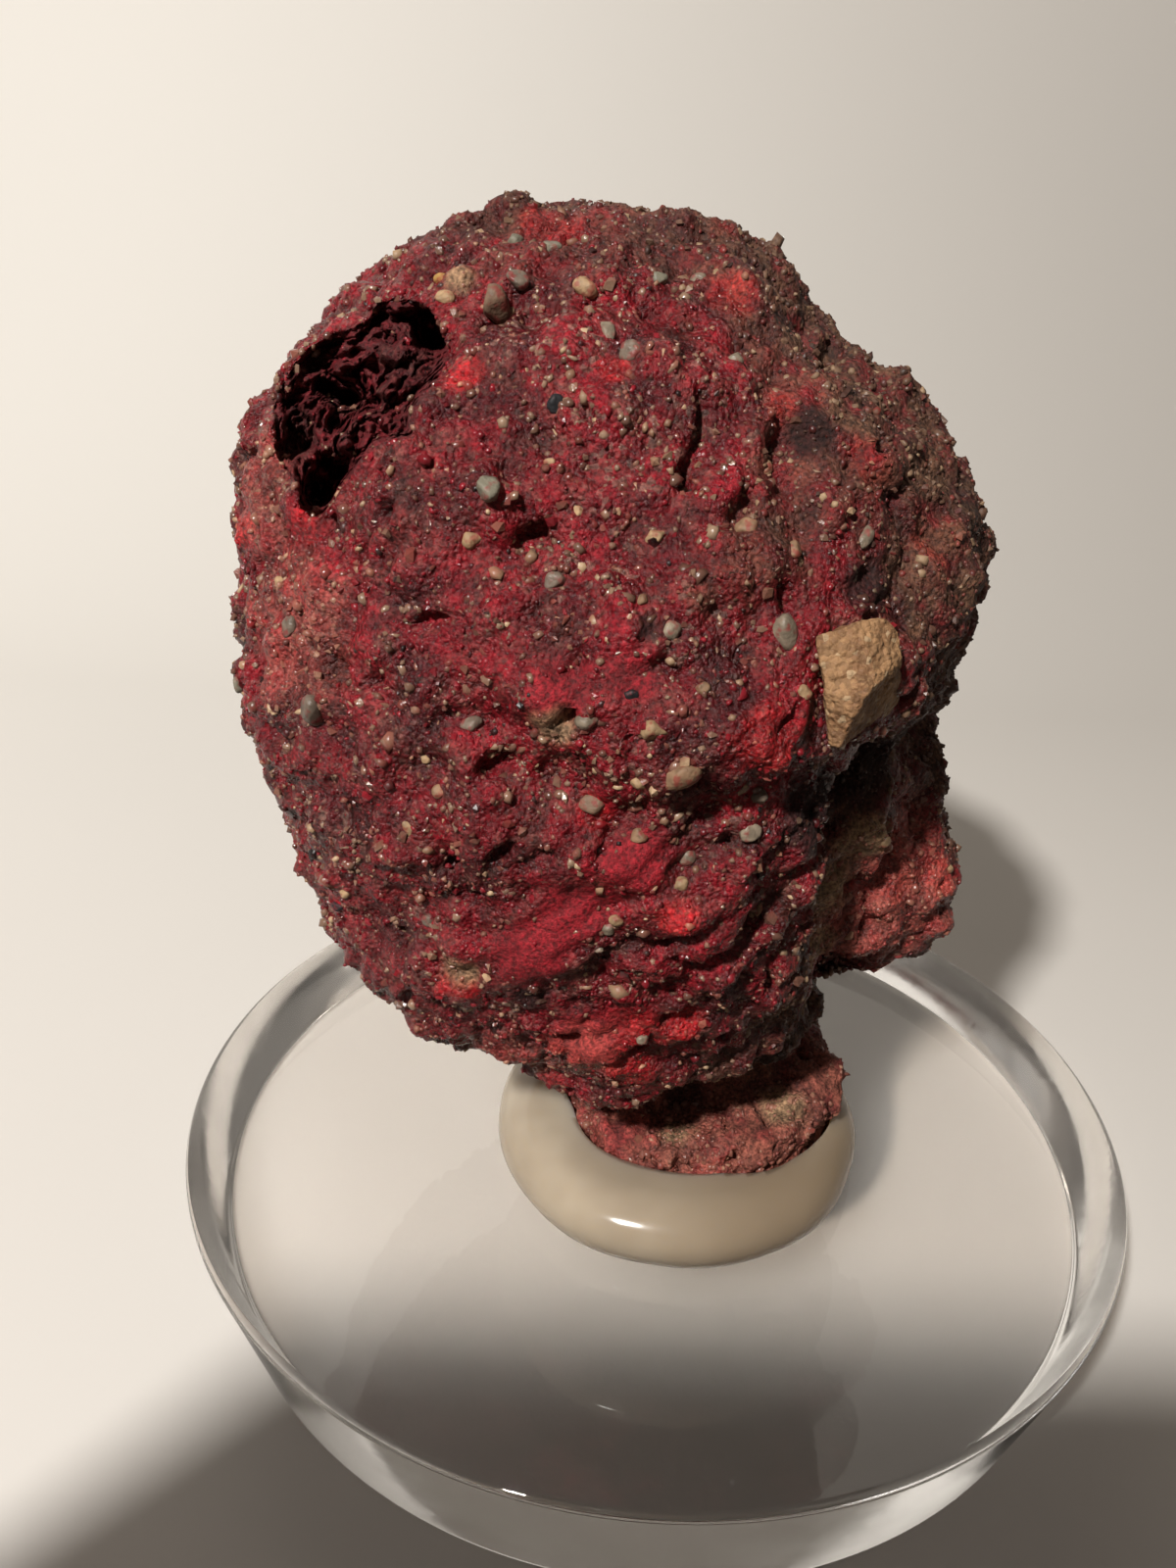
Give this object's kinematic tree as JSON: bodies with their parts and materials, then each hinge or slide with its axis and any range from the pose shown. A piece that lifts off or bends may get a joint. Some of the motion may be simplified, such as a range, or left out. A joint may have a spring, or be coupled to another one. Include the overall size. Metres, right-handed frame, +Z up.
{
  "type": "cinnabar specimen on a clear block",
  "caption": "Lumpy red cinnabar-crusted sand nodule with a broken-open cavity and a tan pebble, glued upright on a clear round acrylic block.",
  "frame": {"origin": "middle of the block's flat underside", "axes": "+Z up through the block and the nodule, -Y out of the nodule's broad red face, +X to the right seen from that face"},
  "size_m": [0.07, 0.07, 0.0728],
  "materials": {
    "cinnabar_crust": "granular crimson crust of cinnabar and sand, with sparkling quartz grains and brown dirt",
    "tan_sandstone": "dry tan stone, fine grained and matt",
    "milky_glue": "milky translucent glue with a soft shine",
    "clear_acrylic": "clear polished acrylic with a faintly sawn edge"
  },
  "bodies": {
    "root": {"cinnabar_nodule": "cinnabar_crust", "tan_pebble": "tan_sandstone", "glue_pad": "milky_glue", "acrylic_block": "clear_acrylic"}
  },
  "joints": []
}
